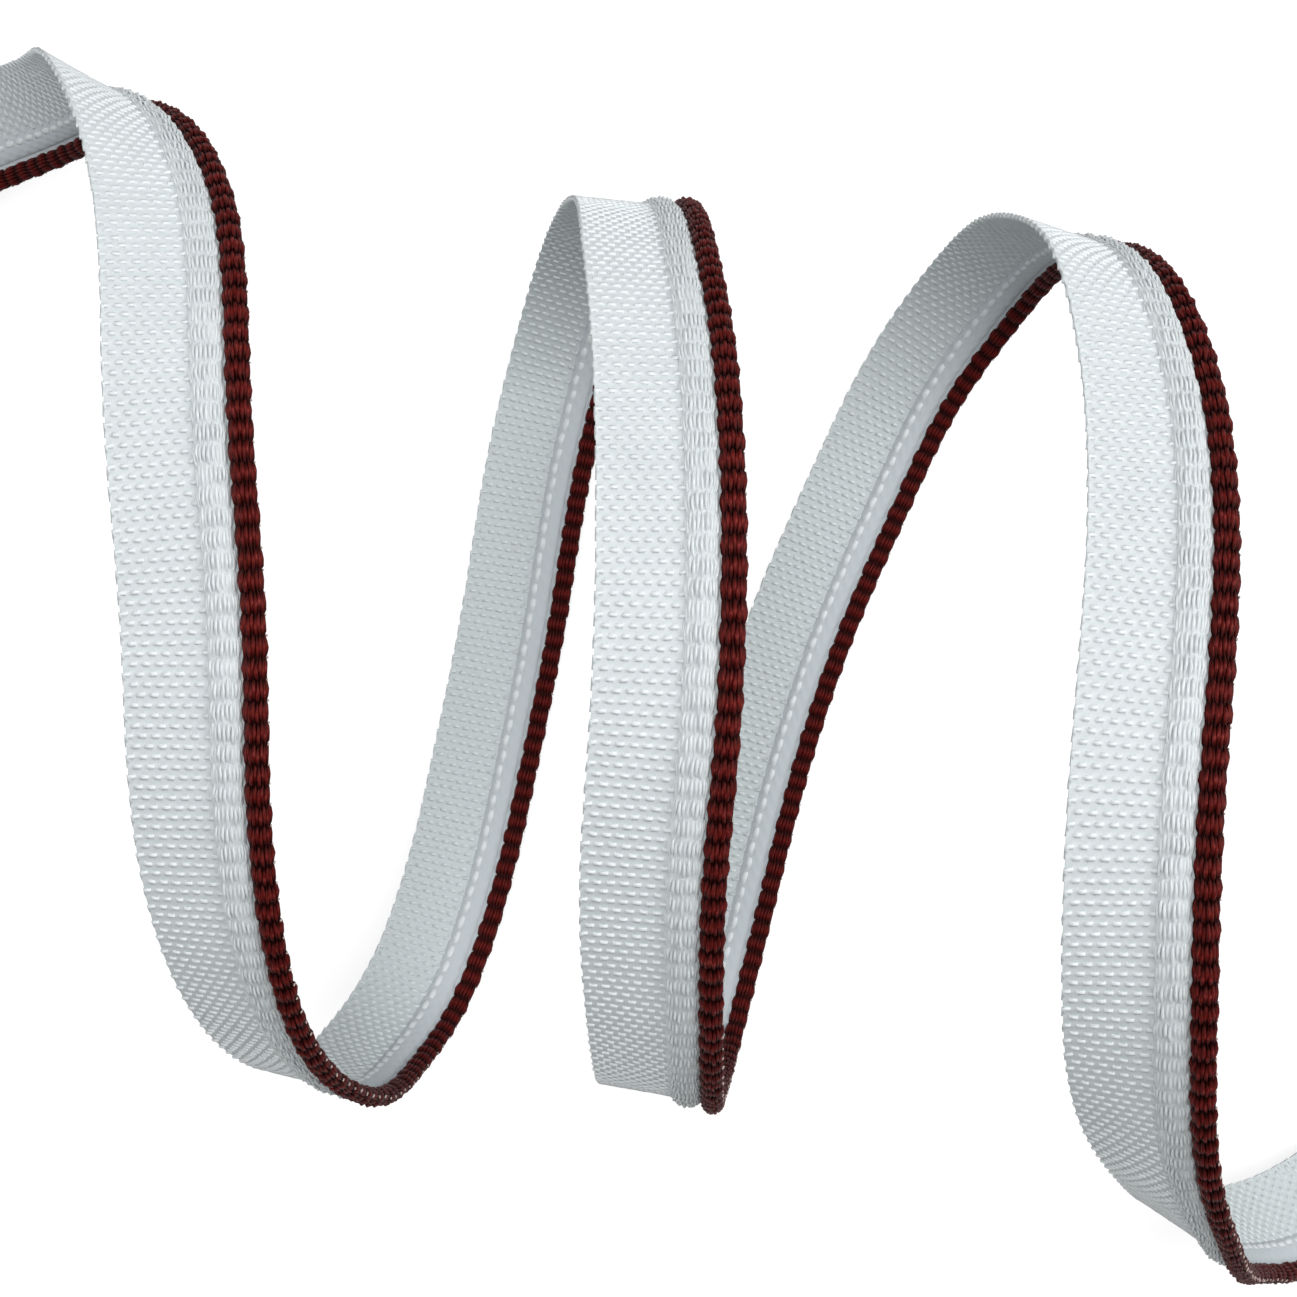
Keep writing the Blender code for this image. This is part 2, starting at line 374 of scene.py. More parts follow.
# %% Node group that turns flat lines into round yarns
def yarn_tree():
    """Lines become closed tubes, wider than thick, with along, around and crown values."""
    b = Builder(new_tree("Round Yarn", "GeometryNodeTree",
                         [("Lines", "NodeSocketGeometry", None), ("Half Width", "NodeSocketFloat", 0.0003),
                          ("Half Thickness", "NodeSocketFloat", 0.0002), ("Sides", "NodeSocketInt", 5),
                          ("Swell", "NodeSocketFloat", 1.0), ("Crown", "NodeSocketFloat", 1.0),
                          ("Rounded", "NodeSocketBool", True)],
                         [("Yarn", "NodeSocketGeometry")]))
    along = b.store(b.given("Lines"), "along", b.add("GeometryNodeSplineParameter", out="Length"))
    crown = b.store(along, "crown", b.given("Crown"))
    upright = b.add("GeometryNodeSetCurveNormal", {"Curve": crown}, mode="Z_UP")
    ring = b.add("GeometryNodeCurvePrimitiveCircle", {"Resolution": b.given("Sides"), "Radius": 1.0})
    around = b.store(ring, "around", b.add("GeometryNodeSplineParameter", out="Factor"))
    half_side = b.calc("DIVIDE", math.pi, b.given("Sides"))
    flat_up = b.add("GeometryNodeTransform", {
        "Geometry": around, "Rotation": b.joined(0.0, 0.0, b.calc("ADD", half_side, math.pi / 2))})
    flattened = b.add("GeometryNodeTransform",
                      {"Geometry": flat_up,
                       "Scale": b.joined(b.given("Half Width"), b.given("Half Thickness"), 1.0)})
    tube = b.add("GeometryNodeCurveToMesh", {"Curve": upright, "Profile Curve": flattened,
                                             "Scale": b.given("Swell"), "Fill Caps": True})
    return b.finish(Yarn=b.smooth(tube, b.given("Rounded")))


round_yarn = yarn_tree()

# %% Run a tree on the route and keep the plain mesh
def make_piece(name, tree, sizes):
    """Run the tree on the route, bake its result into a mesh and return the new object."""
    line = route_line(name + "_route")
    modifier = line.modifiers.new("weave", "NODES")
    modifier.node_group = tree
    for item in tree.interface.items_tree:
        if item.in_out == "INPUT" and item.name in sizes:
            modifier[item.identifier] = sizes[item.name]
    graph = bpy.context.evaluated_depsgraph_get()
    mesh = bpy.data.meshes.new_from_object(line.evaluated_get(graph), depsgraph=graph)
    mesh.name = name
    route_mesh = line.data
    bpy.data.objects.remove(line, do_unlink=True)
    bpy.data.meshes.remove(route_mesh)
    piece = bpy.data.objects.new(name, mesh)
    bpy.context.collection.objects.link(piece)
    mesh.calc_loop_triangles()
    print(name, len(mesh.loop_triangles), "triangles")
    return piece

# %% [markdown]
# ## The flat tape: weft and warp
#
# The tape is a plain weave. One weft yarn runs to and fro across it, a pick at
# a time, and dips over and under the thirteen warp yarns that run lengthwise.
# On the face each weft float shows as a short bright dash, and the dashes of one
# pick lie between those of the next. A rule on the point's number gives every
# place: the pick, the warp it crosses, and whether it is over or under.

# %% Sizes of the weave
PICKS = 960
PICK_PITCH = LENGTH / PICKS
WARPS = 13
FLANGE_INSET = 0.06      # from the selvedge to the first warp
FLANGE_LAP = 0.15        # of the last warp under the rib
FLANGE_LEFT = (SELVEDGE + FLANGE_INSET) * MM
WARP_PITCH = (RIB_INNER + FLANGE_LAP - SELVEDGE) * MM / WARPS
print("pick pitch", round(PICK_PITCH / MM, 3), "mm, warp pitch", round(WARP_PITCH / MM, 3), "mm")

# %% Weft yarn, to and fro across the tape
def weft_tree():
    b = Builder(new_tree("Weft To And Fro", "GeometryNodeTree", [
        ("Route", "NodeSocketGeometry", None), ("First Pick", "NodeSocketInt", 0),
        ("Picks", "NodeSocketInt", 960), ("Pick Pitch", "NodeSocketFloat", 0.0009),
        ("Warps", "NodeSocketInt", 13), ("Warp Pitch", "NodeSocketFloat", 0.0005),
        ("Left Edge", "NodeSocketFloat", 0.0), ("Face Share", "NodeSocketFloat", 0.9),
        ("Reverse Share", "NodeSocketFloat", 0.5), ("Rise", "NodeSocketFloat", 0.00015),
        ("Fall", "NodeSocketFloat", 0.00015), ("Turn Bulge", "NodeSocketFloat", 0.0001),
        ("Half Width", "NodeSocketFloat", 0.0002), ("Half Thickness", "NodeSocketFloat", 0.00015),
        ("Wander", "NodeSocketFloat", 0.00004), ("Finish", "NodeSocketMaterial", None)],
        [("Weft", "NodeSocketGeometry")]))
    per_pick = b.calc("MULTIPLY_ADD", b.given("Warps"), 2, 1)
    line = b.add("GeometryNodeMeshLine", {"Count": b.calc("MULTIPLY_ADD", b.given("Picks"), per_pick, 1)})
    curve = b.add("GeometryNodeMeshToCurve", {"Mesh": line})
    number = b.add("GeometryNodeInputIndex")
    pick = b.calc("FLOOR", b.calc("DIVIDE", b.calc("ADD", number, 0.5), per_pick))
    step = b.calc("SUBTRACT", number, b.calc("MULTIPLY", pick, per_pick))
    back = b.calc("FLOORED_MODULO", pick, 2)
    last = b.calc("SUBTRACT", per_pick, 2)
    turning = b.calc("GREATER_THAN", step, b.calc("ADD", last, 0.5))
    mirrored = b.between(back, step, b.calc("SUBTRACT", last, step))
    column = b.calc("FLOOR", b.calc("DIVIDE", b.calc("ADD", mirrored, 0.5), 2))
    half = b.calc("SUBTRACT", mirrored, b.calc("MULTIPLY", column, 2))
    whole = b.calc("ADD", pick, b.given("First Pick"))
    over = b.calc("FLOORED_MODULO", b.calc("ADD", column, whole), 2)
    share = b.between(over, b.given("Reverse Share"), b.given("Face Share"))
    inside = b.calc("MULTIPLY_ADD", b.calc("SUBTRACT", half, 0.5), share, b.calc("ADD", column, 0.5))
    crossing = b.calc("MULTIPLY_ADD", inside, b.given("Warp Pitch"), b.given("Left Edge"))
    right = b.calc("MULTIPLY_ADD", b.given("Warps"), b.given("Warp Pitch"), b.given("Left Edge"))
    at_right = b.calc("ADD", right, b.given("Turn Bulge"))
    at_left = b.calc("SUBTRACT", b.given("Left Edge"), b.given("Turn Bulge"))
    across = b.between(turning, crossing, b.between(back, at_right, at_left))
    row = b.calc("MULTIPLY_ADD", turning, 0.5, b.calc("ADD", whole, 0.5))
    along = b.calc("MULTIPLY", row, b.given("Pick Pitch"))
    level = b.between(over, b.calc("MULTIPLY", b.given("Fall"), -1), b.given("Rise"))
    out = b.calc("MULTIPLY", level, b.calc("SUBTRACT", 1, turning))
    stray = b.random_offset((-1.0, -1.0, -0.6), (1.0, 1.0, 0.6), 3)
    flat = b.vector("ADD", b.joined(across, along, out), b.scaled(stray, b.given("Wander")))
    placed = b.add("GeometryNodeSetPosition", {"Geometry": curve, "Position": flat})
    # The crown is 0 at the weft's turns, so there the finish paints the bound shade.
    crown = b.calc("SUBTRACT", 1, turning)
    yarn = b.group(round_yarn, {"Lines": placed, "Half Width": b.given("Half Width"),
                                "Half Thickness": b.given("Half Thickness"), "Sides": 5, "Crown": crown})
    laid = b.group(lay_on_route, {"Flat": yarn, "Route": b.given("Route")})
    real = b.add("GeometryNodeRealizeInstances", {"Geometry": laid})
    return b.finish(Weft=b.painted(real))


weft = weft_tree()

# %% Warp yarns, lengthwise
def lengthwise_lines(b, columns, points_each):
    """One line for each column, each carrying its column number."""
    posts = b.add("GeometryNodeMeshLine", {"Count": columns})
    single = b.add("GeometryNodeMeshToCurve", {"Mesh": b.add("GeometryNodeMeshLine", {"Count": points_each})})
    copies = b.add("GeometryNodeInstanceOnPoints", {"Points": posts, "Instance": single})
    numbered = b.store(copies, "column", b.add("GeometryNodeInputIndex"), "INT", "INSTANCE")
    lines = b.add("GeometryNodeRealizeInstances", {"Geometry": numbered})
    column = b.add("GeometryNodeInputNamedAttribute", {"Name": "column"}, data_type="INT")
    return lines, column, b.add("GeometryNodeSplineParameter", out="Index")


def warp_tree():
    b = Builder(new_tree("Warp Lengthwise", "GeometryNodeTree", [
        ("Route", "NodeSocketGeometry", None), ("First Pick", "NodeSocketInt", 0),
        ("Picks", "NodeSocketInt", 960), ("Pick Pitch", "NodeSocketFloat", 0.0009),
        ("Warps", "NodeSocketInt", 13), ("Warp Pitch", "NodeSocketFloat", 0.0005),
        ("Left Edge", "NodeSocketFloat", 0.0), ("Rise", "NodeSocketFloat", 0.0001),
        ("Half Width", "NodeSocketFloat", 0.00025),
        ("Half Thickness", "NodeSocketFloat", 0.00012), ("Wander", "NodeSocketFloat", 0.00002),
        ("Finish", "NodeSocketMaterial", None)],
        [("Warp", "NodeSocketGeometry")]))
    lines, column, number = lengthwise_lines(b, b.given("Warps"), b.calc("ADD", b.given("Picks"), 1))
    whole = b.calc("ADD", number, b.given("First Pick"))
    along = b.calc("MULTIPLY", b.calc("ADD", whole, 0.5), b.given("Pick Pitch"))
    across = b.calc("MULTIPLY_ADD", b.calc("ADD", column, 0.5), b.given("Warp Pitch"), b.given("Left Edge"))
    under = b.calc("MULTIPLY_ADD", b.calc("FLOORED_MODULO", b.calc("ADD", column, whole), 2), -2, 1)
    out = b.calc("MULTIPLY", under, b.given("Rise"))
    stray = b.random_offset((-1.0, -1.0, -0.6), (1.0, 1.0, 0.6), 7)
    flat = b.vector("ADD", b.joined(across, along, out), b.scaled(stray, b.given("Wander")))
    placed = b.add("GeometryNodeSetPosition", {"Geometry": lines, "Position": flat})
    # The warp's crown is 0 where it passes under the weft, so its finish paints bound shade beside each weft
    # dash.
    yarn = b.group(round_yarn, {"Lines": placed, "Half Width": b.given("Half Width"),
                                "Half Thickness": b.given("Half Thickness"), "Sides": 4, "Rounded": False,
                                "Crown": b.calc("MULTIPLY_ADD", under, 0.5, 0.5)})
    laid = b.group(lay_on_route, {"Flat": yarn, "Route": b.given("Route")})
    real = b.add("GeometryNodeRealizeInstances", {"Geometry": laid})
    return b.finish(Warp=b.painted(real))


warp = warp_tree()

# %% [markdown]
# ## The rib and the piping: floats round a core
#
# Beside the tape the warp yarns close up round a soft filling. They float over
# two picks at a time and are drawn in together between, so the rib and the cord
# both look like a row of small pillows with scalloped sides. Both are made by
# one tree: columns of yarn stand round an oval, and each column swells out in
# the middle of a float and draws in where the weft binds it. The face and the
# reverse have columns of their own: fine ones on the face, and on the reverse of
# the rib one wide column that shows as a row of pale pads.

# %% Floats round an oval core
POINTS_PER_FLOAT = 4     # one where it is bound, three along the free part
STEP_APART = 0.3         # between those three, as a part of the float's length
BOUND_THICKNESS = 0.5    # of a yarn where it is bound, as a part of its full thickness


def float_tree():
    b = Builder(new_tree("Floats Round A Core", "GeometryNodeTree", [
        ("Route", "NodeSocketGeometry", None), ("First Float", "NodeSocketInt", 0),
        ("Floats", "NodeSocketInt", 480), ("Float Pitch", "NodeSocketFloat", 0.0018),
        ("Face Columns", "NodeSocketInt", 10), ("Reverse Columns", "NodeSocketInt", 5),
        ("Reverse Size", "NodeSocketFloat", 1.5), ("Centre", "NodeSocketFloat", 0.0),
        ("Centre Out", "NodeSocketFloat", 0.0), ("Oval Half Width", "NodeSocketFloat", 0.001),
        ("Face Rise", "NodeSocketFloat", 0.001), ("Reverse Rise", "NodeSocketFloat", 0.0008),
        ("Drawn In", "NodeSocketFloat", 0.9), ("Sunk", "NodeSocketFloat", 0.7),
        ("Sway", "NodeSocketFloat", 0.0001), ("Stagger", "NodeSocketFloat", 0.0001),
        ("Unevenness", "NodeSocketFloat", 0.12), ("Reverse Lean", "NodeSocketFloat", 0.0),
        ("Half Width", "NodeSocketFloat", 0.00028),
        ("Half Thickness", "NodeSocketFloat", 0.0002), ("Wander", "NodeSocketFloat", 0.00006),
        ("Seed", "NodeSocketInt", 1), ("Finish", "NodeSocketMaterial", None)],
        [("Floats", "NodeSocketGeometry")]))
    columns = b.calc("ADD", b.given("Face Columns"), b.given("Reverse Columns"))
    points_each = b.calc("MULTIPLY_ADD", b.given("Floats"), POINTS_PER_FLOAT, 1)
    lines, column, number = lengthwise_lines(b, columns, points_each)
    group = b.calc("FLOOR", b.calc("DIVIDE", b.calc("ADD", number, 0.5), POINTS_PER_FLOAT))
    step = b.calc("SUBTRACT", number, b.calc("MULTIPLY", group, POINTS_PER_FLOAT))
    bound = b.calc("LESS_THAN", step, 0.5)
    free_place = b.calc("MULTIPLY_ADD", step, STEP_APART, 0.5 - 2 * STEP_APART)
    place = b.calc("MULTIPLY", free_place, b.calc("SUBTRACT", 1, bound))
    on_face = b.calc("LESS_THAN", column, b.calc("SUBTRACT", b.given("Face Columns"), 0.5))
    face_part = b.calc("DIVIDE", b.calc("ADD", column, 0.5), b.given("Face Columns"))
    reverse_column = b.calc("SUBTRACT", b.calc("ADD", column, 0.5), b.given("Face Columns"))
    reverse_part = b.calc("ADD", b.calc("DIVIDE", reverse_column, b.given("Reverse Columns")),
                          b.calc("ADD", b.given("Reverse Lean"), 1.0))
    angle = b.calc("MULTIPLY", b.between(on_face, reverse_part, face_part), math.pi)
    height = b.calc("SINE", angle)
    swell = b.calc("POWER", b.calc("SINE", b.calc("MULTIPLY", place, math.pi)), 0.8)
    inside = b.calc("ADD", place, b.calc("ADD", group, b.given("First Float")))
    shifted = b.calc("MULTIPLY", b.calc("SUBTRACT", b.calc("FLOORED_MODULO", column, 2), 0.5), on_face)
    sway = b.calc("MULTIPLY", b.calc("SINE", b.calc("MULTIPLY", inside, math.pi)), b.given("Sway"))
    each = b.add("FunctionNodeRandomValue", {
        "Min": -1.0, "Max": 1.0, "ID": b.calc("MULTIPLY_ADD", column, 1000, group), "Seed": b.given("Seed")},
        out="Value", data_type="FLOAT")
    slid = b.calc("MULTIPLY_ADD", each, b.calc("MULTIPLY", b.given("Unevenness"), on_face), shifted)
    start = b.calc("MULTIPLY", inside, b.given("Float Pitch"))
    along = b.calc("MULTIPLY_ADD", slid, b.given("Stagger"), start)
    size = b.calc("MULTIPLY_ADD", b.calc("MULTIPLY", each, swell), b.given("Unevenness"), 1)
    reach = b.between(swell, b.given("Drawn In"), 1)
    across = b.calc("MULTIPLY_ADD", b.calc("MULTIPLY", b.calc("COSINE", angle), reach),
                    b.given("Oval Half Width"), b.calc("ADD", b.given("Centre"), sway))
    rise = b.between(on_face, b.given("Reverse Rise"), b.given("Face Rise"))
    up = b.calc("MULTIPLY", b.between(swell, b.given("Sunk"), 1), size)
    out = b.calc("MULTIPLY_ADD", b.calc("MULTIPLY", height, up), rise, b.given("Centre Out"))
    stray = b.random_offset((-0.6, -1.6, -0.6), (0.6, 1.6, 0.6), b.given("Seed"))
    flat = b.vector("ADD", b.joined(across, along, out), b.scaled(stray, b.given("Wander")))
    placed = b.add("GeometryNodeSetPosition", {"Geometry": lines, "Position": flat})
    thickness = b.between(on_face, b.given("Reverse Size"), 1)
    swollen = b.calc("MULTIPLY", b.between(swell, BOUND_THICKNESS, 1), thickness)
    yarn = b.group(round_yarn, {"Lines": placed, "Half Width": b.given("Half Width"),
                                "Half Thickness": b.given("Half Thickness"), "Sides": 5,
                                "Swell": swollen, "Crown": swell})
    laid = b.group(lay_on_route, {"Flat": yarn, "Route": b.given("Route")})
    real = b.add("GeometryNodeRealizeInstances", {"Geometry": laid})
    return b.finish(Floats=b.painted(real))


floats = float_tree()

# %% Smooth bodies: the ground of the tape and the two cores
def body_tree():
    """A closed smooth bar of rounded or square section along the route."""
    b = Builder(new_tree("Smooth Body", "GeometryNodeTree", [
        ("Route", "NodeSocketGeometry", None), ("Steps", "NodeSocketInt", 480),
        ("Length", "NodeSocketFloat", 0.87), ("Sides", "NodeSocketInt", 10),
        ("Centre", "NodeSocketFloat", 0.0), ("Centre Out", "NodeSocketFloat", 0.0),
        ("Half Width", "NodeSocketFloat", 0.001), ("Half Thickness", "NodeSocketFloat", 0.001),
        ("Square", "NodeSocketBool", False), ("Finish", "NodeSocketMaterial", None)],
        [("Body", "NodeSocketGeometry")]))
    line = b.add("GeometryNodeMeshLine", {"Count": b.given("Steps")})
    curve = b.add("GeometryNodeMeshToCurve", {"Mesh": line})
    number = b.add("GeometryNodeInputIndex")
    along = b.calc("MULTIPLY", b.given("Length"),
                   b.calc("DIVIDE", number, b.calc("SUBTRACT", b.given("Steps"), 1)))
    middle = b.joined(b.given("Centre"), along, b.given("Centre Out"))
    placed = b.add("GeometryNodeSetPosition", {"Geometry": curve, "Position": middle})
    upright = b.add("GeometryNodeSetCurveNormal", {"Curve": placed}, mode="Z_UP")
    oval = b.add("GeometryNodeCurvePrimitiveCircle", {"Resolution": b.given("Sides"), "Radius": 1.0})
    slab = b.add("GeometryNodeCurvePrimitiveQuadrilateral", {"Width": 2.0, "Height": 2.0})
    outline = b.add("GeometryNodeSwitch", {"Switch": b.given("Square"), "False": oval, "True": slab},
                    input_type="GEOMETRY")
    halves = b.joined(b.given("Half Width"), b.given("Half Thickness"), 1.0)
    sized = b.add("GeometryNodeTransform", {"Geometry": outline, "Scale": halves})
    bar = b.add("GeometryNodeCurveToMesh", {"Curve": upright, "Profile Curve": sized, "Fill Caps": True})
    smooth = b.smooth(bar, b.calc("SUBTRACT", 1, b.given("Square")))
    kept = b.store(smooth, "flat_place", b.add("GeometryNodeInputPosition"), "FLOAT_VECTOR")
    crowned = b.store(kept, "crown", 1.0)
    laid = b.group(lay_on_route, {"Flat": crowned, "Route": b.given("Route")})
    real = b.add("GeometryNodeRealizeInstances", {"Geometry": laid})
    return b.finish(Body=b.painted(real))


body = body_tree()

# %% Pale weft turns that peep out along the piping's outer side
def turn_tree():
    b = Builder(new_tree("Weft Turns", "GeometryNodeTree", [
        ("Route", "NodeSocketGeometry", None), ("Turns", "NodeSocketInt", 480),
        ("Turn Pitch", "NodeSocketFloat", 0.0018), ("Edge", "NodeSocketFloat", 0.0063),
        ("Edge Out", "NodeSocketFloat", 0.0002), ("Turn Size", "NodeSocketFloat", 0.00016),
        ("Finish", "NodeSocketMaterial", None)],
        [("Turns", "NodeSocketGeometry")]))
    posts = b.add("GeometryNodeMeshLine", {"Count": b.given("Turns")})
    along = b.calc("MULTIPLY", b.calc("ADD", b.add("GeometryNodeInputIndex"), 0.02), b.given("Turn Pitch"))
    stray = b.random_offset((-0.4, -1.5, -1.6), (0.3, 1.5, 1.6), 5)
    place = b.vector("ADD", b.joined(b.given("Edge"), along, b.given("Edge Out")),
                     b.scaled(stray, b.calc("MULTIPLY", b.given("Turn Size"), 0.5)))
    set_out = b.add("GeometryNodeSetPosition", {"Geometry": posts, "Position": place})
    bead = b.add("GeometryNodeMeshIcoSphere", {"Radius": 1.0, "Subdivisions": 1})
    size = b.random_offset((0.6, 0.6, 0.9), (0.9, 0.95, 1.8), 9)
    tilt = b.random_offset((-0.4, -0.3, -0.5), (0.4, 0.3, 0.5), 2)
    beads = b.add("GeometryNodeInstanceOnPoints", {"Points": set_out, "Instance": bead, "Rotation": tilt,
                                                   "Scale": b.scaled(size, b.given("Turn Size"))})
    flat = b.add("GeometryNodeRealizeInstances", {"Geometry": beads})
    laid = b.group(lay_on_route, {"Flat": b.smooth(flat), "Route": b.given("Route")})
    real = b.add("GeometryNodeRealizeInstances", {"Geometry": laid})
    return b.finish(Turns=b.painted(real))


weft_turns = turn_tree()

# %% [markdown]
# ## Finishes
#
# Both yarns look like satin polyester: many fine filaments lie side by side, so
# each float is smooth along its length and faintly lined. Three small groups hold
# what the finishes share. One draws the filaments from the along and around
# values that every yarn carries. One gives the tone and paints light: slow uneven
# patches, painted shade where a yarn is bound down between its neighbours and on
# the reverse, and painted glints on the crowns of the burgundy floats. One draws
# the faint plain weave that shows through on the reverse.

# %% Shared effects
def filament_tree():
    b = Builder(new_tree("Filaments", "ShaderNodeTree",
                         [("Count", "NodeSocketFloat", 9.0), ("Stretch", "NodeSocketFloat", 900.0)],
                         [("Height", "NodeSocketFloat")]))
    around = b.calc("MULTIPLY", b.read("around"), b.given("Count"))
    along = b.calc("MULTIPLY", b.read("along"), b.given("Stretch"))
    swirl = b.joined(around, along, 0.0)
    lines = b.add("ShaderNodeTexNoise", {"Vector": swirl, "Scale": 1.0, "Detail": 2.0, "Roughness": 0.6})
    return b.finish(Height=lines)


def blend_colours(b, factor, low, high):
    mixed = b.tree.nodes.new("ShaderNodeMix")
    mixed.data_type = "RGBA"
    b.put(socket_of(mixed.inputs, "Factor"), factor)
    b.put(socket_of(mixed.inputs, "A"), low)
    b.put(socket_of(mixed.inputs, "B"), high)
    return socket_of(mixed.outputs, "Result")


SPECKLE_SCALE = 2400.0
STREAKS_AROUND, STREAK_STRETCH, STREAK_LAYER = 6.0, 1500.0, 7.0
PATCH_RANGE = {"From Min": 0.3, "From Max": 0.7}
GLINT_RANGE = {"From Min": 0.48, "From Max": 0.72}
GLINT_SHARPNESS = 3.0
FACE_RANGE = {"From Min": -0.35, "From Max": 0.2}


def tone_and_light_tree():
    b = Builder(new_tree("Yarn Tone And Light", "ShaderNodeTree",
                         [("Colour", "NodeSocketColor", (0.8, 0.8, 0.8, 1.0)),
                          ("Deep Colour", "NodeSocketColor", (0.6, 0.6, 0.6, 1.0)),
                          ("Bound Shade Colour", "NodeSocketColor", (0.5, 0.5, 0.5, 1.0)),
                          ("Glint Colour", "NodeSocketColor", (0.9, 0.9, 0.9, 1.0)),
                          ("Reverse Shade Colour", "NodeSocketColor", (0.6, 0.6, 0.6, 1.0)),
                          ("Bound Shade Reach", "NodeSocketFloat", 1.0), ("Glints", "NodeSocketFloat", 0.5),
                          ("Patch Size", "NodeSocketFloat", 0.004), ("Speckle", "NodeSocketFloat", 0.5)],
                         [("Colour", "NodeSocketColor")]))
    place = b.add("ShaderNodeTexCoord", out="Object")
    patch_scale = b.calc("DIVIDE", 1.0, b.given("Patch Size"))
    patches = b.add("ShaderNodeTexNoise", {"Vector": place, "Scale": patch_scale, "Detail": 3.0,
                                           "Roughness": 0.6})
    speckle = b.add("ShaderNodeTexNoise", {"Vector": place, "Scale": SPECKLE_SCALE, "Detail": 1.0})
    both = b.calc("MULTIPLY_ADD", b.calc("SUBTRACT", speckle, 0.5), b.given("Speckle"), patches)
    mask = b.add("ShaderNodeMapRange", {"Value": both, **PATCH_RANGE})
    crown = b.read("crown")
    tone = blend_colours(b, mask, b.given("Deep Colour"), b.given("Colour"))
    # Painted highlight: pale streaks of the glint colour on the crowns of the floats.
    around = b.calc("MULTIPLY", b.read("around"), STREAKS_AROUND)
    along = b.calc("MULTIPLY", b.read("along"), STREAK_STRETCH)
    bundle = b.joined(around, along, STREAK_LAYER)
    streaks = b.add("ShaderNodeTexNoise", {"Vector": bundle, "Scale": 1.0, "Detail": 1.0})
    bright = b.add("ShaderNodeMapRange", {"Value": streaks, **GLINT_RANGE})
    at_crown = b.calc("POWER", crown, GLINT_SHARPNESS)
    glint = b.calc("MULTIPLY", b.calc("MULTIPLY", bright, b.given("Glints")), at_crown)
    lit = blend_colours(b, glint, tone, b.given("Glint Colour"))
    # Painted shade: the reverse side of every yarn takes the darker reverse colour.
    on_face = b.add("ShaderNodeMapRange", {"Value": b.read("face_side"), **FACE_RANGE})
    free = blend_colours(b, on_face, b.given("Reverse Shade Colour"), lit)
    # Painted shade: where a yarn is bound down between its neighbours, its colour turns to the darker bound
    # colour.
    free_of_shade = b.calc("POWER", crown, b.given("Bound Shade Reach"))
    return b.finish(Colour=blend_colours(b, free_of_shade, b.given("Bound Shade Colour"), free))


def reverse_tree():
    b = Builder(new_tree("Reverse Weave", "ShaderNodeTree",
                         [("Pick Pitch", "NodeSocketFloat", 0.0009),
                          ("Warp Pitch", "NodeSocketFloat", 0.00057)],
                         [("Height", "NodeSocketFloat")]))
    flat = b.add("ShaderNodeAttribute", out="Vector", attribute_name="flat_place")
    split = b.tree.nodes.new("ShaderNodeSeparateXYZ")
    b.put(split.inputs[0], flat)
    row_place = b.calc("DIVIDE", split.outputs[1], b.given("Pick Pitch"))
    column_place = b.calc("DIVIDE", split.outputs[0], b.given("Warp Pitch"))
    rows = b.calc("SINE", b.calc("MULTIPLY", row_place, math.pi))
    columns = b.calc("SINE", b.calc("MULTIPLY", column_place, math.pi))
    return b.finish(Height=b.calc("MULTIPLY_ADD", b.calc("MULTIPLY", rows, columns), 0.5, 0.5))


filaments = filament_tree()
yarn_tone_and_light = tone_and_light_tree()
reverse_weave = reverse_tree()

# %% Finishes of the yarns and of the fillings
GLINT_AMOUNT = 0.8
PATCH_SIZE = 4 * MM
SPECKLE_AMOUNT = 0.5
WEAVE_BUMP = {"Strength": 0.5, "Distance": 0.12 * MM}
FILAMENT_BUMP = {"Strength": 0.6, "Distance": 0.03 * MM}


def cloth_finish(name, colour, deep, bound, reverse, roughness, specular, tint=(1, 1, 1, 1), glint=None,
                 reach=1.0, weave=False):
    """A satin yarn finish, or with weave the plain cloth between the yarns."""
    made = bpy.data.materials.new(name)
    made.use_nodes = True
    made.node_tree.nodes.clear()
    b = Builder(made.node_tree, groups=False)
    shader = b.tree.nodes.new("ShaderNodeBsdfPrincipled")
    output = b.tree.nodes.new("ShaderNodeOutputMaterial")
    b.put(output.inputs["Surface"], shader.outputs["BSDF"])
    # The tone group paints shade through the bound and reverse colours, and highlights through the glint
    # colour.
    b.put(shader.inputs["Base Color"], b.group(yarn_tone_and_light, {
        "Colour": colour, "Deep Colour": deep, "Bound Shade Colour": bound, "Glint Colour": glint or colour,
        "Reverse Shade Colour": reverse, "Glints": GLINT_AMOUNT if glint else 0.0, "Bound Shade Reach": reach,
        "Patch Size": PATCH_SIZE, "Speckle": SPECKLE_AMOUNT}))
    if weave:
        height = b.group(reverse_weave, {"Pick Pitch": PICK_PITCH, "Warp Pitch": WARP_PITCH})
        b.put(shader.inputs["Normal"], b.add("ShaderNodeBump", {"Height": height, **WEAVE_BUMP}))
    else:
        height = b.group(filaments, {"Count": 9.0, "Stretch": 900.0})
        b.put(shader.inputs["Normal"], b.add("ShaderNodeBump", {"Height": height, **FILAMENT_BUMP}))
    shader.inputs["Roughness"].default_value = roughness
    shader.inputs["Specular IOR Level"].default_value = specular
    shader.inputs["Specular Tint"].default_value = tint
    made.diffuse_color = colour
    return made
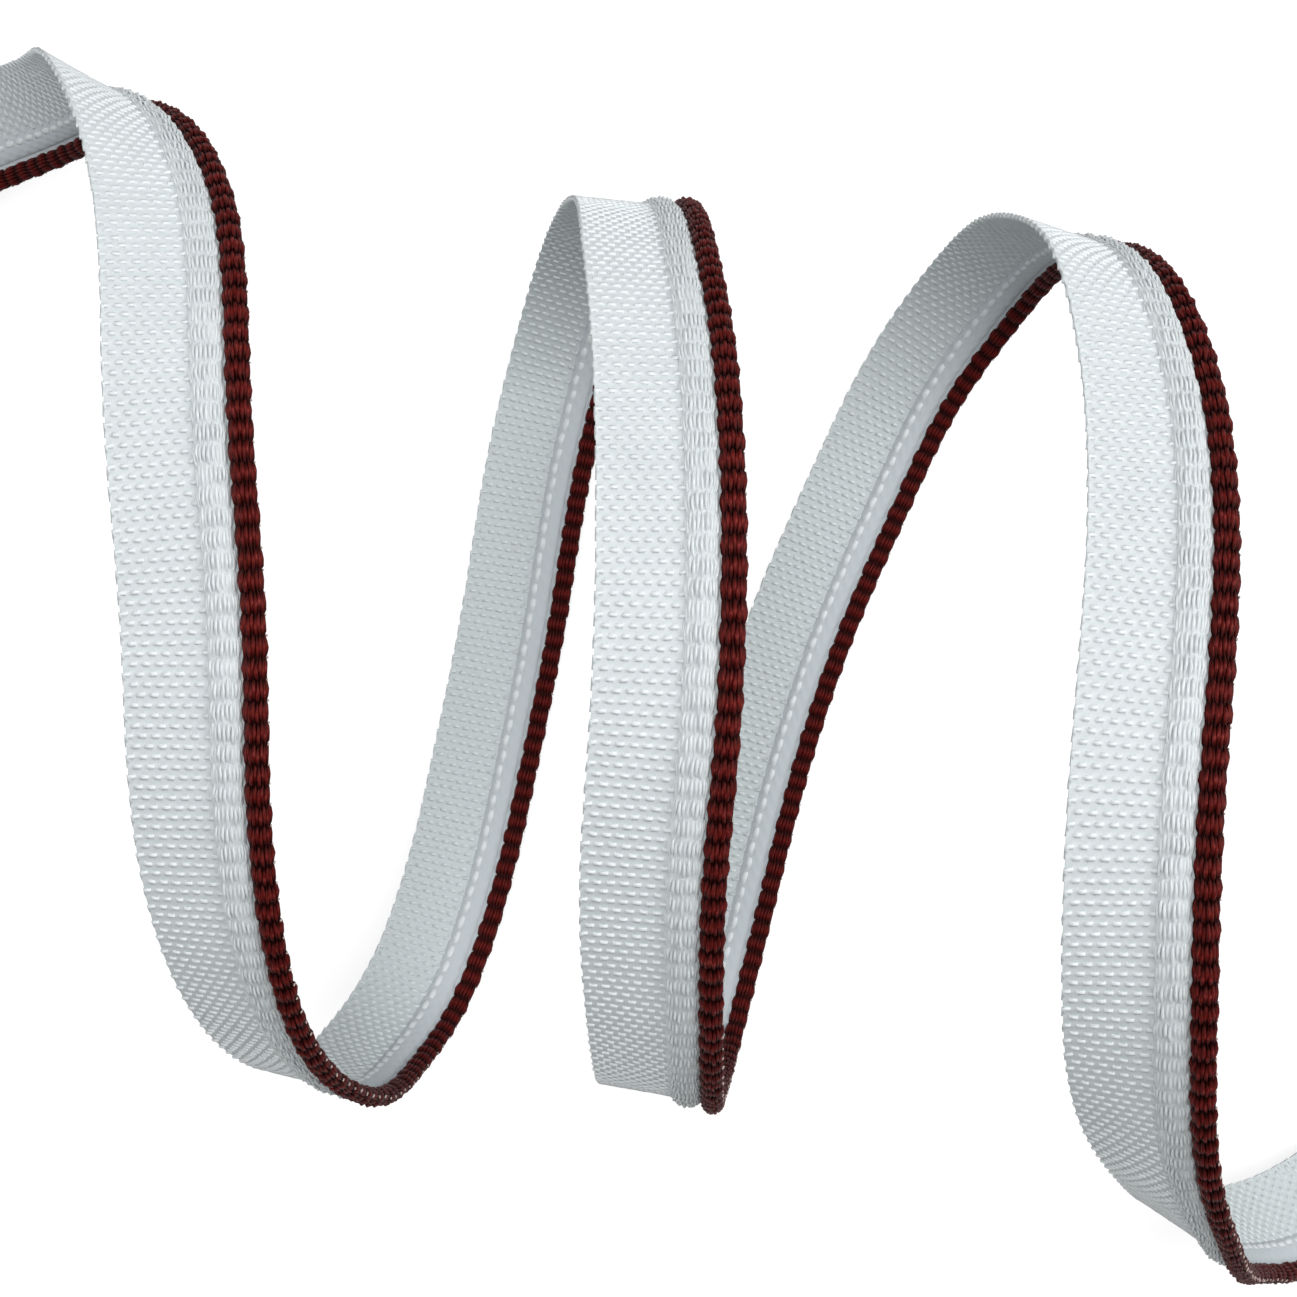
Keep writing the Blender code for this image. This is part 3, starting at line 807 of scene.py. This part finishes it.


# In these finishes the bound and reverse colours are painted shade.
white_weft = cloth_finish(
    "white_weft", roughness=0.36, specular=0.5, colour=(0.88, 0.92, 0.935, 1), deep=(0.83, 0.875, 0.89, 1),
    bound=(0.60, 0.65, 0.665, 1), reverse=(0.70, 0.755, 0.765, 1))
white_warp = cloth_finish(
    "white_warp", roughness=0.5, specular=0.35, colour=(0.79, 0.835, 0.85, 1), deep=(0.74, 0.785, 0.80, 1),
    bound=(0.60, 0.655, 0.67, 1), reverse=(0.62, 0.675, 0.685, 1))
white_rib = cloth_finish(
    "white_rib", roughness=0.32, specular=0.6, colour=(0.86, 0.90, 0.91, 1), deep=(0.80, 0.845, 0.86, 1),
    bound=(0.64, 0.69, 0.71, 1), reverse=(0.76, 0.805, 0.82, 1), reach=0.8)
# Painted shade: the ground and the rib's filling show only in gaps and hollows between the yarns, so they are
# a greyer white, and darker still on the reverse.
shaded_white_ground = cloth_finish(
    "shaded_white_ground", roughness=0.6, specular=0.3, colour=(0.74, 0.785, 0.80, 1), deep=(0.70, 0.75, 0.765, 1),
    bound=(0.70, 0.75, 0.765, 1), reverse=(0.56, 0.61, 0.64, 1), weave=True)
# The burgundy yarn's glint colour is a painted highlight, and its near-black bound colour is painted shade at
# the bindings.
burgundy_yarn = cloth_finish(
    "burgundy_yarn", roughness=0.42, specular=0.30, colour=(0.140, 0.010, 0.008, 1),
    deep=(0.090, 0.006, 0.005, 1), bound=(0.011, 0.0014, 0.0016, 1), reverse=(0.110, 0.008, 0.007, 1),
    tint=(1.0, 0.30, 0.26, 1), glint=(0.30, 0.046, 0.040, 1), reach=2.4)
# Painted shade: the piping's filling shows only in the gaps between its floats, so it is near black.
shaded_burgundy_filling = cloth_finish(
    "shaded_burgundy_filling", roughness=0.7, specular=0.2, colour=(0.016, 0.002, 0.002, 1),
    deep=(0.012, 0.0015, 0.002, 1), bound=(0.014, 0.002, 0.002, 1), reverse=(0.014, 0.002, 0.002, 1),
    tint=(1.0, 0.4, 0.4, 1))
pale_turns = cloth_finish(
    "pale_turns", roughness=0.5, specular=0.4, colour=(0.62, 0.50, 0.46, 1), deep=(0.52, 0.38, 0.35, 1),
    bound=(0.58, 0.45, 0.41, 1), reverse=(0.58, 0.45, 0.41, 1))

# %% [markdown]
# ## Making the pieces
#
# Every set of yarns is made in halves, so that no mesh is too heavy to handle.
# The second half starts on the point where the first ends.

# %% The flat tape
HALF_PICKS = PICKS // 2
FLANGE_SIZES = {"Picks": HALF_PICKS, "Pick Pitch": PICK_PITCH, "Warps": WARPS,
                "Warp Pitch": WARP_PITCH, "Left Edge": FLANGE_LEFT}
WEFT_SIZES = {"Face Share": 0.84, "Reverse Share": 0.95, "Rise": 0.16 * MM, "Fall": 0.14 * MM,
              "Turn Bulge": -0.08 * MM, "Half Width": 0.22 * MM, "Half Thickness": 0.18 * MM,
              "Wander": 0.04 * MM, "Finish": white_weft}
WARP_SIZES = {"Rise": 0.01 * MM, "Half Width": 0.42 * MM,
              "Half Thickness": 0.15 * MM, "Wander": 0.015 * MM, "Finish": white_warp}

tape_yarns = []
for part in range(2):
    first = {"First Pick": part * HALF_PICKS}
    tape_yarns.append(make_piece(f"weft_yarn_{part + 1}", weft, {**FLANGE_SIZES, **WEFT_SIZES, **first}))
    tape_yarns.append(make_piece(f"warp_yarns_{part + 1}", warp, {**FLANGE_SIZES, **WARP_SIZES, **first}))

GROUND_INSET = 0.12      # from the selvedge to the ground's edge
GROUND_LAP = 0.35        # of the ground under the piping
GROUND_LEFT, GROUND_RIGHT = SELVEDGE + GROUND_INSET, PIPING_INNER + GROUND_LAP
ground = make_piece("tape_ground", body, {
    "Steps": PICKS, "Length": LENGTH, "Square": True, "Finish": shaded_white_ground,
    "Centre": (GROUND_LEFT + GROUND_RIGHT) / 2 * MM, "Half Width": (GROUND_RIGHT - GROUND_LEFT) / 2 * MM,
    "Centre Out": 0.0, "Half Thickness": 0.03 * MM})

# %% The rib
FLOATS = PICKS // 2
FLOAT_PITCH = 2 * PICK_PITCH
RIB_LEAN = 0.03          # of the rib's middle towards the flange
RIB_MIDDLE = (RIB_INNER + PIPING_INNER) / 2 - RIB_LEAN
RIB_SIZES = {"Floats": FLOATS // 2, "Float Pitch": FLOAT_PITCH, "Face Columns": 11,
             "Reverse Columns": 1, "Reverse Size": 3.3, "Centre": RIB_MIDDLE * MM,
             "Centre Out": 0.02 * MM, "Oval Half Width": 1.38 * MM, "Face Rise": 0.88 * MM,
             "Reverse Rise": 0.20 * MM, "Drawn In": 0.94, "Sunk": 0.73, "Sway": 0.06 * MM,
             "Stagger": 0.24 * MM, "Unevenness": 0.18, "Reverse Lean": -0.12,
             "Half Width": 0.15 * MM, "Half Thickness": 0.15 * MM,
             "Wander": 0.05 * MM, "Finish": white_rib}
rib_yarns = [make_piece(f"rib_yarns_{part + 1}", floats,
                        {**RIB_SIZES, "First Float": part * FLOATS // 2, "Seed": 11 + part})
             for part in range(2)]
rib_filling = make_piece("rib_filling", body, {
    "Steps": FLOATS, "Length": LENGTH, "Sides": 16, "Finish": shaded_white_ground, "Centre": RIB_MIDDLE * MM,
    "Centre Out": 0.14 * MM, "Half Width": 1.38 * MM, "Half Thickness": 0.60 * MM})

# %% The piping
PIPING_LEAN = 0.06       # of the piping's middle towards the rib
PIPING_MIDDLE = (PIPING_INNER + PIPING_OUTER) / 2 - PIPING_LEAN
PIPING_SIZES = {"Floats": FLOATS // 2, "Float Pitch": FLOAT_PITCH, "Face Columns": 9,
                "Reverse Columns": 8, "Reverse Size": 1.05, "Centre": PIPING_MIDDLE * MM,
                "Centre Out": 0.15 * MM, "Oval Half Width": 0.94 * MM, "Face Rise": 0.95 * MM,
                "Reverse Rise": 0.74 * MM, "Drawn In": 0.94, "Sunk": 0.70, "Sway": 0.06 * MM,
                "Stagger": 0.24 * MM, "Unevenness": 0.14, "Reverse Lean": 0.0,
                "Half Width": 0.20 * MM, "Half Thickness": 0.19 * MM,
                "Wander": 0.06 * MM, "Finish": burgundy_yarn}
piping_yarns = [make_piece(f"piping_yarns_{part + 1}", floats,
                           {**PIPING_SIZES, "First Float": part * FLOATS // 2, "Seed": 21 + part})
                for part in range(2)]
piping_filling = make_piece("piping_filling", body, {
    "Steps": FLOATS, "Length": LENGTH, "Sides": 10, "Finish": shaded_burgundy_filling, "Centre": PIPING_MIDDLE * MM,
    "Centre Out": 0.16 * MM, "Half Width": 0.84 * MM, "Half Thickness": 0.62 * MM})
edge_turns = make_piece("edge_turns", weft_turns, {
    "Turns": FLOATS, "Turn Pitch": FLOAT_PITCH, "Edge": (PIPING_OUTER - 0.22) * MM, "Edge Out": 0.10 * MM,
    "Turn Size": 0.15 * MM, "Finish": pale_turns})

# %% [markdown]
# ## The table and the light
#
# The picture has an even white ground and soft light from above, from the right
# and, weaker, from the left and the top of the picture: the weft dashes are
# bright above and shaded below, and the feet of the loops fall away into grey.

# %% Table
def table_finish():
    made = bpy.data.materials.new("table_white")
    made.use_nodes = True
    nodes, links = made.node_tree.nodes, made.node_tree.links
    shader = nodes["Principled BSDF"]
    shader.inputs["Base Color"].default_value = (0.44, 0.44, 0.44, 1)
    shader.inputs["Roughness"].default_value = 0.9
    shader.inputs["Specular IOR Level"].default_value = 0.1
    shader.inputs["Emission Color"].default_value = (1, 1, 1, 1)
    rays = nodes.new("ShaderNodeLightPath")
    glow = nodes.new("ShaderNodeMapRange")
    glow.inputs["To Min"].default_value = 0.02
    glow.inputs["To Max"].default_value = 0.75
    links.new(rays.outputs["Is Camera Ray"], glow.inputs["Value"])
    links.new(glow.outputs["Result"], shader.inputs["Emission Strength"])
    return made


TABLE_HALF = 3.0
TABLE_TOP = -0.2 * MM
CORNERS = [(-1, -1), (1, -1), (1, 1), (-1, 1)]
table_mesh = bpy.data.meshes.new("table")
table_mesh.from_pydata([(x * TABLE_HALF, y * TABLE_HALF, TABLE_TOP) for x, y in CORNERS], [], [(0, 1, 2, 3)])
table = bpy.data.objects.new("table", table_mesh)
table.data.materials.append(table_finish())
bpy.context.collection.objects.link(table)

# %% Lights
LIGHTS = [
    # name,        x,     y,    z, size, watts
    ("overhead", 0.00,  0.02, 0.95, 0.45,  2.9),
    ("key",     -0.10,  0.50, 0.55, 0.30,  0.2),
    ("right",    0.61,  0.20, 0.53, 0.60,  4.1),
    ("left",    -0.61,  0.20, 0.53, 0.60,  1.5),
]
LIGHT_AIM = Vector((0, 0, 0.03))
for name, x, y, z, size, watts in LIGHTS:
    lamp = bpy.data.lights.new(name, "AREA")
    lamp.shape = "SQUARE"
    lamp.size = size
    lamp.energy = watts
    holder = bpy.data.objects.new(name, lamp)
    holder.location = (x, y, z)
    aim = LIGHT_AIM - holder.location
    holder.rotation_euler = aim.to_track_quat("-Z", "Y").to_euler()
    bpy.context.collection.objects.link(holder)

SOFT_FILL = 0.20         # light from all round on the object
BACKDROP = 0.90          # what the camera sees behind the table
world = bpy.data.worlds.new("studio")
world.use_nodes = True
world.node_tree.nodes["Background"].inputs["Color"].default_value = (1.0, 1.0, 1.0, 1)
path = world.node_tree.nodes.new("ShaderNodeLightPath")
behind = world.node_tree.nodes.new("ShaderNodeMapRange")
behind.inputs["To Min"].default_value = SOFT_FILL
behind.inputs["To Max"].default_value = BACKDROP
world.node_tree.links.new(path.outputs["Is Camera Ray"], behind.inputs["Value"])
world.node_tree.links.new(behind.outputs["Result"], world.node_tree.nodes["Background"].inputs["Strength"])
bpy.context.scene.world = world
bpy.context.scene.view_settings.view_transform = "Standard"

# %% [markdown]
# ## What stands for what
#
# The tape's ground runs the whole length of the trim, and the yarns pass through
# it. With the white yarns it stands for the woven tape of the frame, and the
# burgundy pieces stand for the piping.

white_pieces = [ground, rib_filling] + tape_yarns + rib_yarns
burgundy_pieces = [piping_filling, edge_turns] + piping_yarns
for piece in white_pieces + burgundy_pieces:
    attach(piece, "root")
for piece in white_pieces:
    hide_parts("woven_tape")
for piece in burgundy_pieces:
    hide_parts("piping_edge")
